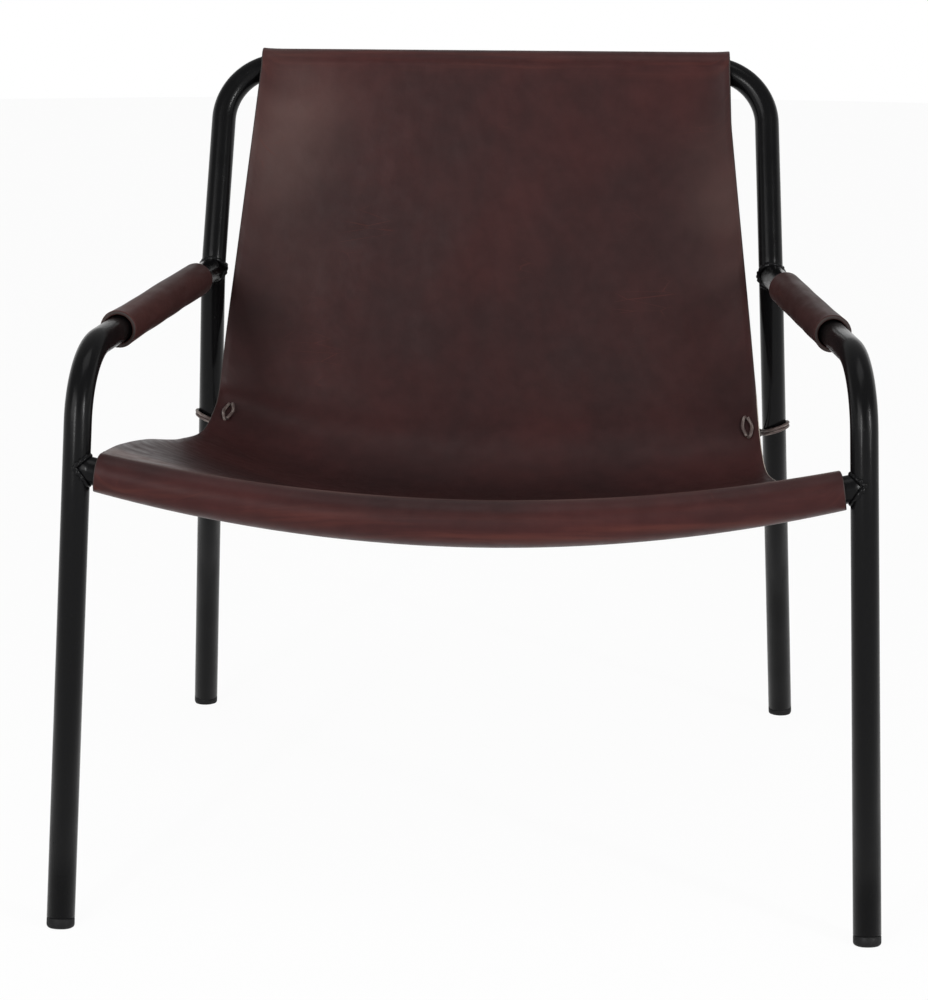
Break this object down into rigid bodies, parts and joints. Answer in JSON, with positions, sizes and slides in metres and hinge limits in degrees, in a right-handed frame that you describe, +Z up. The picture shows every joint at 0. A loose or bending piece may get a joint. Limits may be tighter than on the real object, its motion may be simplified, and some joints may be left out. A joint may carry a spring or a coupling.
{
  "type": "sling lounge chair",
  "caption": "Low lounge chair with a thick leather sling hung in a bent round-tube frame, leather sleeves on the arms and lace ties at the rear uprights.",
  "frame": {"origin": "on the floor, under the middle of the chair's bounding box", "axes": "+X across the chair to the viewer's right as seen from the front, +Y from the front to the back, +Z up"},
  "size_m": [0.7698, 0.7284, 0.7558],
  "materials": {
    "frame_paint": "semi-gloss black powder coat",
    "glide_plastic": "matte black",
    "sling_leather": "dark brown saddle leather with a soft sheen",
    "sleeve_leather": "dark brown saddle leather",
    "lace_leather": "brown waxed lace",
    "thread": "dark brown waxed thread"
  },
  "bodies": {
    "root": {"rear_frame": "frame_paint", "arm_leg_left": "frame_paint", "arm_leg_right": "frame_paint", "front_rail": "frame_paint", "weld_arm_left": "frame_paint", "weld_arm_right": "frame_paint", "weld_rail_left": "frame_paint", "weld_rail_right": "frame_paint", "glide_front_left": "glide_plastic", "glide_front_right": "glide_plastic", "glide_rear_left": "glide_plastic", "glide_rear_right": "glide_plastic", "sleeve_left": "sleeve_leather", "sleeve_right": "sleeve_leather", "sleeve_thread_left": "thread", "sleeve_thread_right": "thread", "sling": "sling_leather", "tie_left": "lace_leather", "tie_right": "lace_leather", "top_hem_thread": "thread", "front_hem_thread": "thread"}
  },
  "joints": []
}
